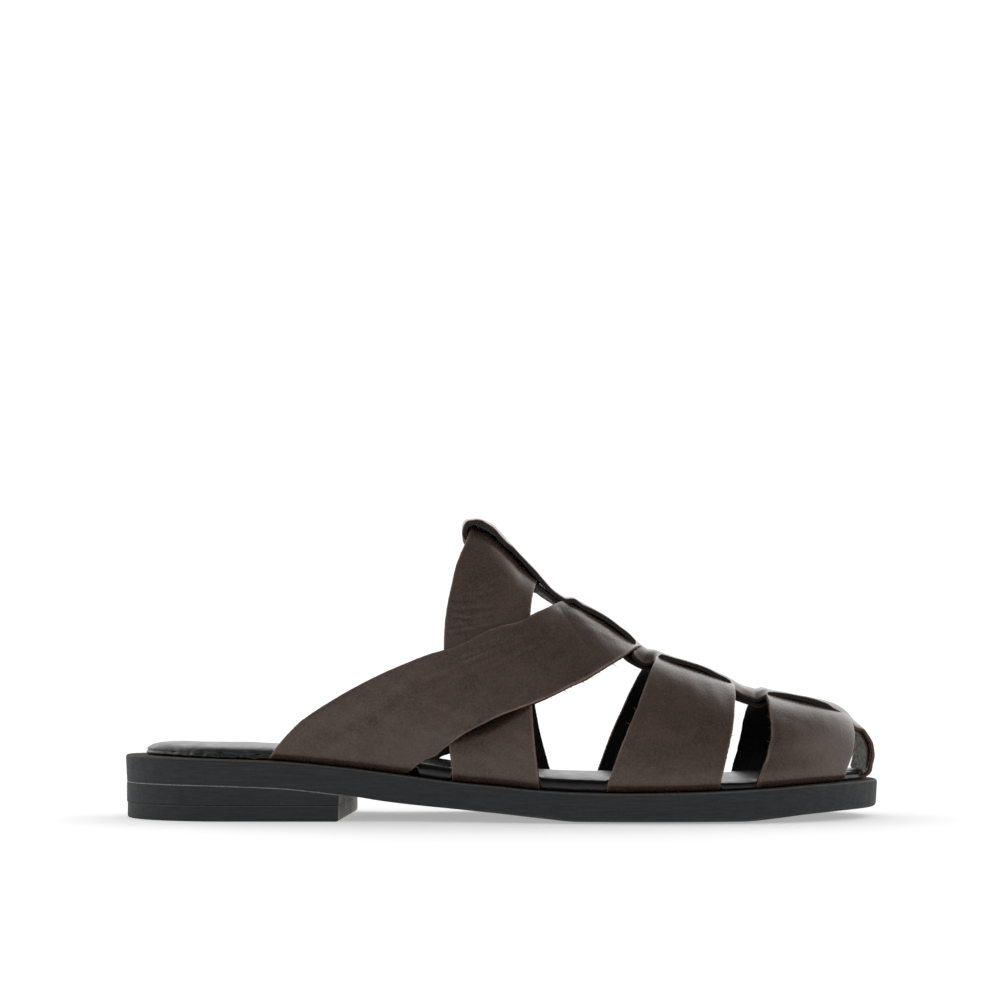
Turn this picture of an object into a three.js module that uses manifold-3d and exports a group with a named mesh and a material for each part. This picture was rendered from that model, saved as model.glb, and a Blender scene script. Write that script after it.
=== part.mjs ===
// A backless fisherman mule for the right foot, standing on its sole: four cross straps woven through a
// centre strap that is folded double, a padded insole, a thin rubber sole and a low stacked heel.
// Millimetres. +X runs to the toe, +Y to the inner side of the foot and +Z up. The origin is on the floor
// below the middle of the shoe.

import * as THREE from "three";
import { mergeVertices } from "three/addons/utils/BufferGeometryUtils.js";
import Module from "manifold-3d";

const wasm = await Module();
wasm.setup();

// Driving dimensions
const SOLE_LENGTH = 259;
const TOE_END = SOLE_LENGTH / 2;
const HEEL_BREAST = -54;
const HEEL_SEAM = 5.4;
const STRAP = 2.0;
const LAYER = 1.7;
const SPINE_WIDTH = 22;
const INSOLE = 3.3;
const GAP = 0.3;

// How the straps meet the sole: the sole's ledge outside them, the bend at their foot, the margin that lies
// flat under the insole, and the turn from where their edges run straight on into the bend
const LEDGE = 2.5;
const BEND = 1.5;
const MARGIN = 8;
const FOOT_TURN = 2;

// How the straps meet each other: how far a strap sinks into the one it crosses, the slit between the two
// layers of the centre strap, and how far that strap lies to the inner side of the sole's axis
const BITE = 0.35;
const SLIT = 0.2;
const RIDGE_SHIFT = 2;

// Round ends of the sole's outline: length of the round and the power of its curve
const HEEL_ROUND = { length: 40, power: 2.05 };
const TOE_ROUND = { length: 44, power: 2.3 };

// Steps round each solid
const RING_STEPS = 34;
const FEATHER_STEPS = 160;
const SIDE_STEPS = 14;
const BEND_STEPS = 3;
const SPINE_STEPS = 50;
const LINING_STEPS = 28;
const TUCK_STEPS = 12;
const FOLD_STEPS = 8;
const SPINE_ACROSS = 6;
const SPINE_DIVISIONS = 1200;

// Distance at which corners are one, and the small steps that slopes are measured over
const MERGE = 1e-4;
const PROBE = 0.25;
const ANGLE_PROBE = 1e-3;

// The sole along its length: half widths from its axis, the axis, its top and bottom face, the round of its
// lower edge and how far the bottom rises from its flat middle to that edge
const SOLE = table(
  ["along", "outer", "inner", "axis", "top", "bottom", "round", "belly"],
  [
    [-130, 31.0, 31.0, -0.4, 21.6, 12.6, 0.4, 0],
    [-100, 31.5, 31.5, -0.4, 20.7, 11.9, 0.4, 0],
    [-76, 31.6, 31.1, -0.4, 19.9, 10.6, 0.4, 0],
    [-54, 31.8, 30.0, -0.4, 17.9, 8.5, 0.5, 0],
    [-40, 32.5, 29.4, -0.4, 16.2, 6.9, 0.9, 0],
    [-27, 34.0, 29.4, -0.4, 14.5, 5.2, 1.2, 0.2],
    [-17, 35.5, 29.8, -0.4, 13.2, 4.1, 1.5, 0.4],
    [0, 38.8, 32.0, -0.4, 11.7, 2.4, 1.8, 0.7],
    [12, 41.2, 34.7, -0.3, 10.6, 1.1, 1.8, 0.9],
    [25, 43.5, 37.6, -0.1, 10.0, 0, 1.8, 1.0],
    [40, 45.2, 40.5, 0.2, 9.8, 0, 1.8, 1.0],
    [60, 46.0, 43.5, 1.1, 10.1, 0, 1.8, 1.0],
    [78, 44.3, 43.2, 2.0, 10.7, 0, 1.8, 1.0],
    [90, 42.0, 40.6, 2.6, 11.4, 1.0, 1.8, 0.7],
    [101, 39.2, 37.3, 3.1, 12.1, 2.2, 1.8, 0.4],
    [115, 35.0, 33.0, 3.8, 12.65, 3.1, 1.6, 0.2],
    [130, 30.0, 28.0, 4.6, 13.0, 3.4, 1.4, 0.2],
  ],
);

// Its bottom rises by share of the belly between two insets from its edge, its side leans in by the taper
// towards the floor, and its upper edge is rounded by the rim. The heel's layers are drawn in a little more.
const BELLY = { flat: 14, middle: 6, share: 0.35 };
const SOLE_TAPER = 0.4;
const SOLE_RIM = 1.0;
const LIFT_SIDE = { inset: 0.6, corner: 0.3, chamfer: 0.3 };
const TOP_PIECE_SIDE = { inset: 0.9, corner: 0.7, chamfer: 0.3 };

// The ridge of the last over the foot: what the centre strap lies on
const CROWN = table(
  ["along", "height"],
  [
    [-80, 121],
    [-50, 117],
    [-30, 109.5],
    [-11.6, 97.7],
    [-6, 95.0],
    [-1, 90.9],
    [4, 85.8],
    [10, 80.0],
    [17, 74.3],
    [24, 70.6],
    [33, 64.7],
    [41, 59.2],
    [48, 54.9],
    [53, 52.4],
    [68, 47.0],
    [84, 41.3],
    [100, 37.5],
    [108, 35.3],
    [116, 32.4],
    [119.2, 29.8],
  ],
);

// Where the centre strap leaves the last, goes down the toe and turns in under the insole
const TOE_TURN = table(
  ["along", "height"],
  [
    [122.5, 26.5],
    [124.8, 22.4],
    [125.3, 19.8],
    [125.1, 18.1],
    [124.1, 17.1],
    [122.5, 16.8],
    [113, 16.7],
  ],
);

// The cross straps from the sole's edge (turn 0) up to the ridge (turn 90): their rear and front edges along
// the foot, and how many degrees the front edge is ahead of the rear one. The inner side is a mirror image,
// moved forward by shift at the sole.
const STRAPS = {
  instep: {
    shift: 5.5,
    across: 4,
    rows: table(
      ["turn", "skew", "rear", "front"],
      [
        [0, 0, -16.4, 11.9],
        [14, 0, -18.6, 10.2],
        [29.5, 1, -19.4, 9.1],
        [51.5, 5, -16.8, 8.4],
        [71.5, 3, -12.8, 9.6],
        [90, 0, -11.6, 11.4],
      ],
    ),
  },
  diagonal: {
    shift: 0,
    across: 7,
    rows: table(
      ["turn", "skew", "rear", "front"],
      [
        [0, 0, -75.3, -26.4],
        [6, 0, -66.6, -17.0],
        [14, -3, -45.1, -4.4],
        [25.5, -6, -16.2, 11.7],
        [33, -7, -4.2, 20.2],
        [42, -7.5, 5.2, 28.7],
        [63.5, -7, 16.1, 40.1],
        [90, 0, 23.5, 47.5],
      ],
    ),
  },
  vamp: {
    shift: 2.6,
    across: 4,
    rows: table(
      ["turn", "skew", "rear", "front"],
      [
        [0, 0, 34.3, 70.5],
        [16, -2, 39.4, 73.0],
        [38, -0.5, 45.1, 75.0],
        [68, 0, 50.2, 77.2],
        [90, 0, 52.6, 78.6],
      ],
    ),
  },
  toe: {
    shift: 1.0,
    across: 4,
    rows: table(
      ["turn", "skew", "rear", "front"],
      [
        [0, 0, 83.1, 113.7],
        [15.5, -3, 86.4, 115.5],
        [37.5, 5, 88.5, 117.2],
        [63.5, 3, 89.2, 117.4],
        [90, 0, 89.5, 116.8],
      ],
    ),
  },
};

// Where straps climb over each other: across from the ridge over the lining, and along over the instep strap,
// both only above a turn. The centre strap rises before a strap's rear edge and falls about its front edge,
// bows over its middle and flares at its own edges. Its lining stops short of the toe, where it rounds.
const OVER_LINING = { full: 12, none: 20, turn: 20 };
const OVER_INSTEP = { from: -34, full: -22, until: 14, none: 24, turn: 8 };
const SPINE_RISE = { before: 5, after: 0 };
const SPINE_FALL = { before: 6, after: 1.5 };
const SPINE_BOW = 0.33;
const SPINE_FLARE = 1.1;
const LINING_STOP = 16;
const TOE_ROUNDING = { from: 106, full: 122, radius: 34 };
const FOLD = { setback: 0.9, swell: 0.5 };

// The padded insole: its distance from the sole's edge and its rounded side, from the bottom up
const INSOLE_INSET = { side: 5, back: 7, backEnd: -118, sideFrom: -96 };
const INSOLE_SIDE = table(
  ["rise", "inset"],
  [
    [0, 0.9],
    [0.14, 0.2],
    [0.42, 0],
    [0.68, 0.3],
    [0.86, 1.2],
    [0.97, 3.4],
    [1, 7],
  ],
);

// Tables and small curves

function table(columns, rows) {
  return rows.map((row) => Object.fromEntries(columns.map((name, at) => [name, row[at]])));
}

// A smooth value between a table's rows that never overshoots them; the first column is the key.
function look(rows, column, at) {
  const key = Object.keys(rows[0])[0];
  const end = rows.length - 1;
  if (at <= rows[0][key]) return rows[0][column];
  if (at >= rows[end][key]) return rows[end][column];
  const secant = (i) => (rows[i + 1][column] - rows[i][column]) / (rows[i + 1][key] - rows[i][key]);
  const slope = (i) => {
    if (i === 0) return secant(0);
    if (i === end) return secant(end - 1);
    const product = secant(i - 1) * secant(i);
    return product <= 0 ? 0 : (2 * product) / (secant(i - 1) + secant(i));
  };
  const k = rows.findIndex((row) => row[key] > at) - 1;
  const step = rows[k + 1][key] - rows[k][key];
  const t = (at - rows[k][key]) / step;
  const back = 1 - t;
  const heights = rows[k][column] * (1 + 2 * t) * back * back + rows[k + 1][column] * t * t * (1 + 2 * back);
  return heights + step * t * back * (slope(k) * back - slope(k + 1) * t);
}

// 0 up to from, 1 past to, and a soft step between them.
function ramp(from, to, at) {
  return THREE.MathUtils.smoothstep(at, from, to);
}

function fall(from, to, at) {
  return 1 - ramp(from, to, at);
}

function steps(count, from, to) {
  return Array.from({ length: count + 1 }, (_, k) => from + ((to - from) * k) / count);
}

// Solids

function quad(a, b, c, d) {
  return [a, b, c, a, c, d];
}

// The solid that a list of triangle corners encloses.
function solid(corners) {
  const soup = new THREE.BufferGeometry().setFromPoints(corners);
  const merged = mergeVertices(soup, MERGE);
  const index = merged.index.array;
  const kept = [];
  for (let at = 0; at < index.length; at += 3) {
    const [a, b, c] = index.slice(at, at + 3);
    if (a !== b && b !== c && c !== a) kept.push(a, b, c);
  }
  const vertProperties = merged.attributes.position.array;
  return new wasm.Manifold(new wasm.Mesh({ numProp: 3, vertProperties, triVerts: new Uint32Array(kept) }));
}

// A solid through rings, from the lowest to the highest, closed across its first and last ring.
function slab(rings) {
  const loops = rings.map((ring) => [...ring.outer, ...ring.inner.toReversed()]);
  const corners = [];
  for (let level = 0; level + 1 < loops.length; level++) {
    const [low, high] = [loops[level], loops[level + 1]];
    low.forEach((point, k) => {
      const next = (k + 1) % low.length;
      corners.push(...quad(point, low[next], high[next], high[k]));
    });
  }
  const [base, lid] = [rings[0], rings.at(-1)];
  for (let k = 0; k + 1 < base.outer.length; k++) {
    corners.push(...quad(base.outer[k], base.inner[k], base.inner[k + 1], base.outer[k + 1]));
    corners.push(...quad(lid.outer[k], lid.outer[k + 1], lid.inner[k + 1], lid.inner[k]));
  }
  return solid(corners);
}

// A wall between two grids of points, where first index cross second index points from inside to outside.
function wall(inside, outside) {
  const rows = inside.length - 1;
  const ends = inside[0].length - 1;
  const corners = [];
  for (let i = 0; i < rows; i++) {
    for (let j = 0; j < ends; j++) {
      corners.push(...quad(outside[i][j], outside[i + 1][j], outside[i + 1][j + 1], outside[i][j + 1]));
      corners.push(...quad(inside[i][j], inside[i][j + 1], inside[i + 1][j + 1], inside[i + 1][j]));
    }
    corners.push(...quad(inside[i][0], inside[i + 1][0], outside[i + 1][0], outside[i][0]));
    corners.push(...quad(inside[i + 1][ends], inside[i][ends], outside[i][ends], outside[i + 1][ends]));
  }
  for (let j = 0; j < ends; j++) {
    corners.push(...quad(inside[0][j + 1], inside[0][j], outside[0][j], outside[0][j + 1]));
    corners.push(...quad(inside[rows][j], inside[rows][j + 1], outside[rows][j + 1], outside[rows][j]));
  }
  return solid(corners);
}

// The sole's outline

function roundEnd(distance, round) {
  const left = 1 - Math.min(Math.max(distance, 0) / round.length, 1);
  return (1 - left ** round.power) ** (1 / round.power);
}

// A point of the outline: angle 0 at the heel's back, a half turn at the toe, positive on the outer side.
function edge(angle) {
  const along = -TOE_END * Math.cos(angle);
  const ends = roundEnd(along + TOE_END, HEEL_ROUND) * roundEnd(TOE_END - along, TOE_ROUND);
  const half = Math.sin(angle) >= 0 ? -look(SOLE, "outer", along) : look(SOLE, "inner", along);
  return new THREE.Vector2(along, look(SOLE, "axis", along) + half * ends);
}

// One level of a sole piece: the outline drawn in by inset, from the heel's back to front, at its height.
function ring(inset, height, front = TOE_END, count = RING_STEPS) {
  const point = (angle) => {
    const at = edge(angle);
    const run = edge(angle + ANGLE_PROBE).sub(edge(angle - ANGLE_PROBE)).normalize();
    const drawn = inset(at.x);
    const along = Math.min(at.x - run.y * drawn, front - drawn);
    return new THREE.Vector3(along, at.y + run.x * drawn, height(along));
  };
  const angles = steps(count, 0, Math.acos(-front / TOE_END));
  return { outer: angles.map(point), inner: angles.map((angle) => point(-angle)) };
}

// Sole and heel

const soleTop = (along) => look(SOLE, "top", along);
const soleBottom = (along) => look(SOLE, "bottom", along);

function outsole() {
  const round = (along) => look(SOLE, "round", along);
  const belly = (along) => look(SOLE, "belly", along);
  const rim = (along) => soleBottom(along) + belly(along);
  const corner = 1 - Math.SQRT1_2;
  return slab([
    ring(() => BELLY.flat, soleBottom),
    ring(() => BELLY.middle, (x) => soleBottom(x) + BELLY.share * belly(x)),
    ring((x) => SOLE_TAPER + round(x), rim),
    ring((x) => SOLE_TAPER + round(x) * corner, (x) => rim(x) + round(x) * corner),
    ring(() => SOLE_TAPER, (x) => rim(x) + round(x)),
    ring(() => 0, (x) => soleTop(x) - SOLE_RIM),
    ring(() => SOLE_RIM * corner, (x) => soleTop(x) - SOLE_RIM * corner),
    ring(() => SOLE_RIM, soleTop),
  ]);
}

// A layer of the heel between two heights, with its sides drawn in a little and its edges broken.
function heelLayer(low, high, { inset, corner, chamfer }) {
  return slab([
    ring(() => inset + corner, low, HEEL_BREAST),
    ring(() => inset, (x) => low(x) + corner, HEEL_BREAST),
    ring(() => inset, (x) => high(x) - chamfer, HEEL_BREAST),
    ring(() => inset + chamfer, high, HEEL_BREAST),
  ]);
}

// The last that the straps are pulled over

// The line that the inside of the straps follows at the sole, on each side.
function featherLine() {
  const line = ring(() => LEDGE + STRAP, () => 0, TOE_END, FEATHER_STEPS);
  const rows = (points) => points.map((point) => ({ along: point.x, across: point.y }));
  return { outer: rows(line.outer), inner: rows(line.inner) };
}

const FEATHER = featherLine();
const ridge = (along) => look(SOLE, "axis", along) + RIDGE_SHIFT;
const crown = (along) => look(CROWN, "height", along);
const seat = (along) => soleTop(along) + GAP + STRAP + BEND;

// A point of the last: turn 0 at the outer edge of the sole, 90 on the ridge and 180 at the inner edge.
// Below 0 and past 180 come 90 degrees of bend under the foot, and then millimetres of flat margin.
function last(along, turn) {
  const side = turn <= 90 ? "outer" : "inner";
  const inward = turn <= 90 ? 1 : -1;
  const angle = turn <= 90 ? turn : 180 - turn;
  const up = THREE.MathUtils.degToRad(Math.max(angle, 0));
  const bend = THREE.MathUtils.degToRad(Math.min(Math.max(-angle, 0), 90));
  const flat = Math.max(-angle - 90, 0);
  const feather = look(FEATHER[side], "across", along);
  const across = feather + (ridge(along) - feather) * (1 - Math.cos(up));
  const tucked = inward * (BEND * (1 - Math.cos(bend)) + flat);
  const height = seat(along) + (crown(along) - seat(along)) * Math.sin(up) - BEND * Math.sin(bend);
  return new THREE.Vector3(along, across + tucked, height);
}

function lastNormal(along, turn) {
  const forward = last(along + PROBE, turn).sub(last(along - PROBE, turn));
  const round = last(along, turn + PROBE).sub(last(along, turn - PROBE));
  return forward.cross(round).normalize();
}

// Cross straps

// How far a strap's inside is off the last: over the lining layer of the centre strap, and for the
// diagonal strap over the instep strap.
function climb(name, along, turn) {
  const off = Math.abs(last(along, turn).y - ridge(along));
  const above = (rule) => ramp(0, rule.turn, Math.min(turn, 180 - turn));
  const lining = fall(OVER_LINING.full, OVER_LINING.none, off) * above(OVER_LINING) * (LAYER - BITE);
  if (name !== "diagonal") return lining;
  const { from, full, until, none } = OVER_INSTEP;
  const instep = ramp(from, full, along) * fall(until, none, along) * above(OVER_INSTEP) * (STRAP - BITE);
  return Math.max(lining, instep);
}

// A strap from one margin over the ridge to the other, or the room it needs, when clear is not 0. In the
// bend its edges run on as they come down to the sole.
function crossStrap(name, clear = 0) {
  const { shift, across, rows } = STRAPS[name];
  const tuck = 90 + MARGIN + clear;
  const under = [-tuck, ...steps(BEND_STEPS, -90, 0).slice(0, -1)];
  const rise = steps(SIDE_STEPS * 2, 0, 180);
  const turns = [...under, ...rise, ...under.toReversed().map((turn) => 180 - turn)];
  const place = (share, turn) => {
    const near = turn <= 90 ? turn : 180 - turn;
    const height = Math.max(near, 0);
    const bent = Math.min(Math.max(-near, 0) / 90, 1);
    const follow = (column) => look(rows, column, height) * (1 + bent) - look(rows, column, FOOT_TURN) * bent;
    const moved = turn <= 90 ? 0 : shift * (1 - Math.sin(THREE.MathUtils.degToRad(height))) ** 2;
    const rear = follow("rear") - 2 * clear;
    const front = follow("front") + 2 * clear;
    const ahead = (share - 0.5) * look(rows, "skew", height) * (turn <= 90 ? 1 : -1);
    return { along: rear + (front - rear) * share + moved, turn: turn + ahead };
  };
  const grid = (from) =>
    steps(across, 0, 1).map((share) =>
      turns.map((turn) => {
        const at = place(share, turn);
        const lift = climb(name, at.along, at.turn) + from;
        return last(at.along, at.turn).addScaledVector(lastNormal(at.along, at.turn), lift);
      }),
    );
  return wall(grid(-clear), grid(STRAP + clear));
}

// Centre strap

// The line on the last that the centre strap follows, from the throat over the toe to its tucked end.
function spineLine() {
  const throat = STRAPS.instep.rows.at(-1).rear;
  const over = steps(SPINE_STEPS, throat, CROWN.at(-1).along).map((along) => [along, crown(along)]);
  const down = TOE_TURN.map((row) => [row.along, row.height]);
  const points = [...over, ...down].map(([along, height]) => new THREE.Vector3(along, 0, height));
  const line = new THREE.CatmullRomCurve3(points, false, "centripetal");
  line.arcLengthDivisions = SPINE_DIVISIONS;
  return line;
}

const SPINE = spineLine();
const SPINE_TOP = LAYER - BITE + STRAP - BITE;
const LINING_END = 1 - LINING_STOP / SPINE.getLength();

// A place on that line: its point, the way along it and the way out of the shoe.
function spinePlace(share) {
  const point = SPINE.getPointAt(share);
  const way = SPINE.getTangentAt(share);
  return { point, way, out: new THREE.Vector3(-way.z, 0, way.x) };
}

// 0 where the outer layer dips between two cross straps, 1 at the edges of a strap that it passes over and
// a little more over the strap's middle, where it bows. At the throat it starts from the fold.
function overStrap(along) {
  const bumps = Object.entries(STRAPS).map(([name, { rows }]) => {
    const { rear, front } = rows.at(-1);
    const climbed = name === "instep" ? 1 : ramp(rear - SPINE_RISE.before, rear + SPINE_RISE.after, along);
    const bow = Math.sin(Math.PI * THREE.MathUtils.clamp((along - rear) / (front - rear), 0, 1));
    return climbed * fall(front - SPINE_FALL.before, front + SPINE_FALL.after, along) * (1 + SPINE_BOW * bow);
  });
  return Math.max(...bumps);
}

// One section across the centre strap, bent as the last is: rise above the last and back along it.
function spineSection(place, rise, back = 0, flare = 0, width = SPINE_WIDTH) {
  const end = CROWN.at(-1).along;
  const along = Math.min(place.point.x, end);
  const slant = Math.max(place.out.z, 0);
  const arched = slant > 0 ? fall(end, TOE_ROUNDING.full, place.point.x) : 0;
  const arch = arched * (crown(along) - seat(along));
  const toe = ramp(TOE_ROUNDING.from, TOE_ROUNDING.full, place.point.x) * Math.max(place.out.x, 0);
  return steps(SPINE_ACROSS, -width / 2, width / 2).map((reach) => {
    const side = reach < 0 ? "outer" : "inner";
    const half = Math.abs(look(FEATHER[side], "across", along) - ridge(along));
    const bending = (arch * slant) / (half * half) + toe / TOE_ROUNDING.radius;
    const off = reach / (1 + rise * bending);
    const level = Math.sqrt(1 - (off / half) ** 2);
    const round = (toe * off) / TOE_ROUNDING.radius;
    const normal = place.out.clone().setY((arch * slant * off) / (half * half * level) + round).normalize();
    const point = place.point.clone().add(new THREE.Vector3(0, ridge(along) + off, -arch * (1 - level)));
    point.addScaledVector(place.out, (-round * off) / 2);
    point.addScaledVector(normal, rise + flare * ((2 * reach) / width) ** 2);
    return point.addScaledVector(place.way, -back);
  });
}

// One long strip: the lining layer from the toe back to the throat, the fold round the instep strap, and
// the outer layer over the straps to the toe and in under the insole.
function centreStrap() {
  const inside = [];
  const outside = [];
  steps(LINING_STEPS, LINING_END, 0).forEach((share) => {
    const place = spinePlace(share);
    inside.push(spineSection(place, LAYER));
    outside.push(spineSection(place, 0));
  });
  const throat = spinePlace(0);
  const middle = (LAYER + SPINE_TOP) / 2;
  steps(FOLD_STEPS, -90, 90).forEach((degrees) => {
    const up = Math.sin(THREE.MathUtils.degToRad(degrees));
    const back = Math.cos(THREE.MathUtils.degToRad(degrees));
    const radius = (SPINE_TOP - LAYER) / 2 + FOLD.swell * back;
    const reach = radius + LAYER;
    inside.push(spineSection(throat, middle + up * radius, FOLD.setback + back * radius));
    outside.push(spineSection(throat, middle + up * reach, FOLD.setback + back * reach));
  });
  const over = steps(SPINE_STEPS, 0, LINING_END).slice(0, -1);
  [...over, ...steps(TUCK_STEPS, LINING_END, 1)].forEach((share) => {
    const place = spinePlace(share);
    const lifted = place.out.z > 0 ? overStrap(place.point.x) : 0;
    const rise = LAYER + SLIT + (SPINE_TOP - LAYER - SLIT) * lifted;
    inside.push(spineSection(place, rise, 0, SPINE_FLARE * lifted));
    outside.push(spineSection(place, rise + LAYER, 0, SPINE_FLARE * lifted));
  });
  return wall(inside, outside);
}

// The room that the tucked end of the centre strap needs under the insole.
function centreStrapRoom() {
  const places = steps(TUCK_STEPS, LINING_END, 1).map(spinePlace);
  const tip = places.at(-1);
  places.push({ ...tip, point: tip.point.clone().addScaledVector(tip.way, GAP) });
  const grid = (rise) => places.map((place) => spineSection(place, rise, 0, 0, SPINE_WIDTH + 2 * GAP));
  return wall(grid(LAYER + SLIT - GAP), grid(2 * LAYER + SLIT + INSOLE));
}

// The padded insole, with pockets below for the straps that turn in under it.
function insole() {
  const { side, back, backEnd, sideFrom } = INSOLE_INSET;
  const inset = (along) => side + (back - side) * fall(backEnd, sideFrom, along);
  const pad = slab(
    INSOLE_SIDE.map((row) =>
      ring((x) => inset(x) + row.inset, (x) => soleTop(x) + GAP + row.rise * INSOLE),
    ),
  );
  const rooms = [...Object.keys(STRAPS).map((name) => crossStrap(name, GAP)), centreStrapRoom()];
  return rooms.reduce((left, room) => left.subtract(room), pad);
}

function upper() {
  return Object.keys(STRAPS).reduce((joined, name) => joined.add(crossStrap(name)), centreStrap());
}

// The shoe

function node(name, body, finish) {
  const { vertProperties, triVerts } = body.getMesh();
  const geometry = new THREE.BufferGeometry();
  geometry.setAttribute("position", new THREE.BufferAttribute(vertProperties, 3));
  geometry.setIndex(new THREE.BufferAttribute(triVerts, 1));
  geometry.computeVertexNormals();
  const material = new THREE.MeshStandardMaterial({ ...finish, metalness: 0 });
  const mesh = new THREE.Mesh(geometry, material);
  mesh.name = name;
  return mesh;
}

const LEATHER = { color: 0x423833, roughness: 0.5 };
const PAD = { color: 0x1b1b1c, roughness: 0.4 };
const RUBBER = { color: 0x2d2e30, roughness: 0.75 };

function heelLift() {
  return heelLayer(() => HEEL_SEAM + GAP / 2, (along) => soleBottom(along) - GAP, LIFT_SIDE);
}

function heelTopPiece() {
  return heelLayer(() => 0, () => HEEL_SEAM - GAP / 2, TOP_PIECE_SIDE);
}

const shoe = new THREE.Group();
shoe.add(node("outsole", outsole(), RUBBER));
shoe.add(node("heel_lift", heelLift(), RUBBER));
shoe.add(node("heel_top_piece", heelTopPiece(), RUBBER));
shoe.add(node("insole", insole(), PAD));
shoe.add(node("upper", upper(), LEATHER));

export default shoe;
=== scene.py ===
# A backless fisherman mule for the right foot: woven leather straps, a padded insole and a low rubber heel.
# Tables are in millimetres and degrees, as the shoe is made, and meshes are in metres.
import math

import bpy
import numpy as np
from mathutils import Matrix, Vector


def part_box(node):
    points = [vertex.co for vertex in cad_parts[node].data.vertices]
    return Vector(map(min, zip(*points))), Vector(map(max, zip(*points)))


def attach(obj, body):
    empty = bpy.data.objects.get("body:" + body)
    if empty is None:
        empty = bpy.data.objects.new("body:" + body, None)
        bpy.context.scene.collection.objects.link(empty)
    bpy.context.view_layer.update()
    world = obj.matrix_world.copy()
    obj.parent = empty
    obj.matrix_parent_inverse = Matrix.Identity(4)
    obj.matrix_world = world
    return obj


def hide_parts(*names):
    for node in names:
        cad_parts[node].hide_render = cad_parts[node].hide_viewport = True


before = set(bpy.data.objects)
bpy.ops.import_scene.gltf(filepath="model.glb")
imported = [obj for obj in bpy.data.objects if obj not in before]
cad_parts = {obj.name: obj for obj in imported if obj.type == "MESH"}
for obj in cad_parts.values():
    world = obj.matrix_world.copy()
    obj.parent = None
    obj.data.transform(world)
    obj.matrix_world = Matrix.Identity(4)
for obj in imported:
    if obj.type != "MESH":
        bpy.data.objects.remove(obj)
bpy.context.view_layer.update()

BODY = "root"
MM = 0.001

# Driving dimensions
TOE_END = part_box("outsole")[1].x / MM
HEEL_BREAST = -53.5
HEEL_SEAM = 5.4
STRAP = 2.0
LAYER = 1.7
SPINE_WIDTH = 22.0
GAP = 0.3

# How the straps meet the sole and each other
LEDGE = 2.5
BEND = 1.5
MARGIN = 8.0
FOOT_TURN = 2.0
BITE = 0.35
SLIT = 0.2
RIDGE_SHIFT = 2.0

# Round ends of the sole's outline: length of the round and the power of its curve
HEEL_ROUND = {"length": 40.0, "power": 2.05}
TOE_ROUND = {"length": 44.0, "power": 2.3}

# Small steps that slopes are measured over, and how finely the line where the straps start is drawn
PROBE = 0.25
ANGLE_PROBE = 1e-3
FEATHER_POINTS = 900


def table(columns, rows):
    """Columns of numbers by name; the first one is the key that values are looked up by."""
    return dict(zip(columns.split(), np.array(rows, float).T))


def tables(columns, parts):
    return {name: table(columns, rows) for name, rows in parts.items()}


def settings(keys, parts):
    return {name: dict(zip(keys.split(), values)) for name, values in parts.items()}


# The sole along its length: half widths from its axis, the axis, its top and bottom face, the round of its
# lower edge and how far the bottom rises from its flat middle to that edge
SOLE = table("along outer inner axis top bottom round belly", [
    [-130, 31, 31, -0.4, 21.6, 12.5, 0.15, 0],
    [-100, 31.5, 31.5, -0.4, 20.7, 12.1, 0.15, 0],
    [-76, 31.6, 31.1, -0.4, 19.9, 11.3, 0.15, 0],
    [-54, 31.8, 30, -0.4, 17.9, 9.1, 0.3, 0],
    [-40, 32.5, 29.4, -0.4, 16.2, 6.9, 0.9, 0],
    [-27, 34, 29.4, -0.4, 14.5, 5.2, 1.2, 0.2],
    [-17, 35.5, 29.8, -0.4, 13.2, 4.1, 1.5, 0.4],
    [0, 38.8, 32, -0.4, 11.7, 2.4, 1.8, 0.7],
    [12, 41.2, 34.7, -0.3, 10.6, 1.1, 1.8, 0.9],
    [25, 43.5, 37.6, -0.1, 10, 0, 1.8, 1],
    [40, 45.2, 40.5, 0.2, 9.8, 0, 1.8, 1],
    [60, 46, 43.5, 1.1, 10.1, 0, 1.8, 1],
    [78, 44.3, 43.2, 2, 10.7, 0, 1.8, 1],
    [90, 42, 40.6, 2.6, 11.4, 1, 1.8, 0.7],
    [101, 39.2, 37.3, 3.1, 12.1, 2.2, 1.8, 0.4],
    [115, 35, 33, 3.8, 12.65, 3.1, 1.6, 0.2],
    [130, 30, 28, 4.6, 13, 3.4, 1.4, 0.2],
])
BELLY = {"flat": 14.0, "middle": 6.0, "share": 0.35}
SOLE_TAPER = 0.4
SOLE_RIM = 1.0

# The ridge of the last over the foot, and the centre strap's way from there down the toe and in
CROWN = table("along height", [
    [-80, 121], [-50, 117], [-30, 109.5], [-11.6, 97.7], [-6, 95], [-1, 90.9], [4, 85.8], [10, 80],
    [17, 74.3], [24, 70.6], [33, 64.7], [41, 59.2], [48, 54.9], [53, 52.4], [68, 47], [84, 41.3],
    [100, 37.5], [108, 36], [112.5, 35], [116, 33.9], [119.2, 31],
])
TOE_TURN = table("along height", [
    [122.6, 27.5], [124.2, 23.5], [124.5, 20.5], [124.6, 18], [124.6, 17], [124.4, 15.9], [123.8, 15.5],
    [122.6, 15.4], [113, 15.3],
])

# The cross straps: how far the inner side, a mirror image of the outer one, is moved forward at the sole
# (shift) and half way up (lean), the faces across and along it, and the seed and strength of its relief
STRAPS = settings("shift lean across steps seed relief", {
    "instep": (5.5, 0.0, 72, 300, 100, 1.0),
    "diagonal": (4.0, 0.0, 72, 320, 200, 1.0),
    "vamp": (0.6, 0.0, 64, 240, 300, 0.8),
    "toe": (1.0, -1.9, 64, 220, 400, 0.4),
})

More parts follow.
